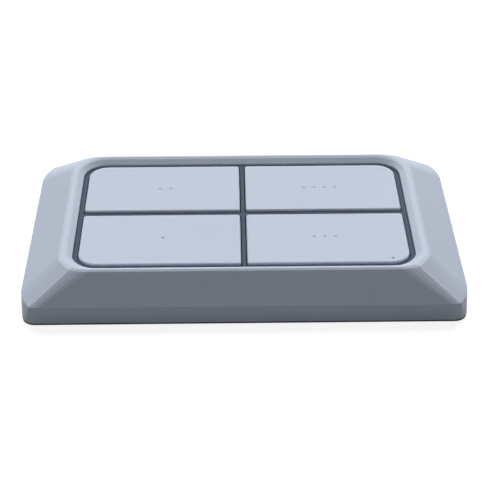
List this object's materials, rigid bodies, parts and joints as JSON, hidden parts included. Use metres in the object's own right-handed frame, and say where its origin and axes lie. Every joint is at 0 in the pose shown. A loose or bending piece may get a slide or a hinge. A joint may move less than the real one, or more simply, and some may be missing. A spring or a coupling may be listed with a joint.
{
  "type": "wall button remote",
  "caption": "Bevelled oblong wall remote with a block of flat push buttons in a rounded window, held by magnets on a thin screw-on wall plate.",
  "frame": {"origin": "middle of the flat back face of the wall plate, on the wall", "axes": "+Z points away from the wall, +X along the long side, towards the buttons with three and four dimples, +Y towards the buttons with two and four dimples"},
  "size_m": [0.0864, 0.056, 0.0094],
  "materials": {
    "cover_plastic": "fine matt texture, pale cool grey-white",
    "cap_plastic": "smooth satin, pale cool grey-white",
    "tray_plastic": "matt dark slate",
    "plate_plastic": "matt dark grey",
    "housing_plastic": "matt, pale cool grey",
    "door_plastic": "matt, pale cool grey",
    "pad_foam": "white foam with adhesive skin",
    "strike_steel": "zinc-plated sheet",
    "magnet_nickel": "nickel plated",
    "case_screw_steel": "zinc plated",
    "board_screw_steel": "black oxide",
    "cell_steel": "fine brushed",
    "cell_lid_steel": "fine brushed",
    "cell_gasket": "satin black",
    "contact_nickel": "nickel-plated spring steel",
    "board_laminate": "green solder mask",
    "radio_laminate": "blue-green solder mask",
    "shield_tin": "tin-plated sheet",
    "chip_plastic": "matt black moulding",
    "switch_plastic": "matt black",
    "plunger_plastic": "ivory",
    "led_plastic": "milky",
    "pipe_clear": "clear polished"
  },
  "bodies": {
    "plate_body": {"wall_plate": "plate_plastic", "adhesive_pads": "pad_foam", "strike_plates": "strike_steel"},
    "remote_body": {"rear_housing": "housing_plastic", "magnets": "magnet_nickel", "case_screws": "case_screw_steel", "coin_cell_can": "cell_steel", "coin_cell_gasket": "cell_gasket", "coin_cell_lid": "cell_lid_steel", "positive_contact": "contact_nickel", "negative_contact": "contact_nickel", "circuit_board": "board_laminate", "board_screws": "board_screw_steel", "switch_bodies": "switch_plastic", "radio_board": "radio_laminate", "radio_shield": "shield_tin", "chip_components": "chip_plastic", "status_led": "led_plastic", "light_pipe": "pipe_clear", "button_tray": "tray_plastic", "cover_frame": "cover_plastic"},
    "battery_door_body": {"battery_door": "door_plastic"},
    "button_1_body": {"button_1_cap": "cap_plastic", "button_1_plunger": "plunger_plastic"},
    "button_2_body": {"button_2_cap": "cap_plastic", "button_2_plunger": "plunger_plastic"},
    "button_3_body": {"button_3_cap": "cap_plastic", "button_3_plunger": "plunger_plastic"},
    "button_4_body": {"button_4_cap": "cap_plastic", "button_4_plunger": "plunger_plastic"}
  },
  "joints": [
    {"name": "remote_lift", "type": "slide", "parent": "plate_body", "child": "remote_body", "axis": [0, 0, 1], "range_m": [0, 0.012]},
    {"name": "battery_door_turn", "type": "hinge", "parent": "remote_body", "child": "battery_door_body", "pos_m": [0, 0, 0], "axis": [0, 0, 1], "range_deg": [0, 40]},
    {"name": "button_1_press", "type": "slide", "parent": "remote_body", "child": "button_1_body", "axis": [0, 0, -1], "range_m": [0, 0.0005], "stiffness_N_per_m": 2000, "springref_m": -0.0003},
    {"name": "button_2_press", "type": "slide", "parent": "remote_body", "child": "button_2_body", "axis": [0, 0, -1], "range_m": [0, 0.0005], "stiffness_N_per_m": 2000, "springref_m": -0.0003},
    {"name": "button_3_press", "type": "slide", "parent": "remote_body", "child": "button_3_body", "axis": [0, 0, -1], "range_m": [0, 0.0005], "stiffness_N_per_m": 2000, "springref_m": -0.0003},
    {"name": "button_4_press", "type": "slide", "parent": "remote_body", "child": "button_4_body", "axis": [0, 0, -1], "range_m": [0, 0.0005], "stiffness_N_per_m": 2000, "springref_m": -0.0003}
  ]
}
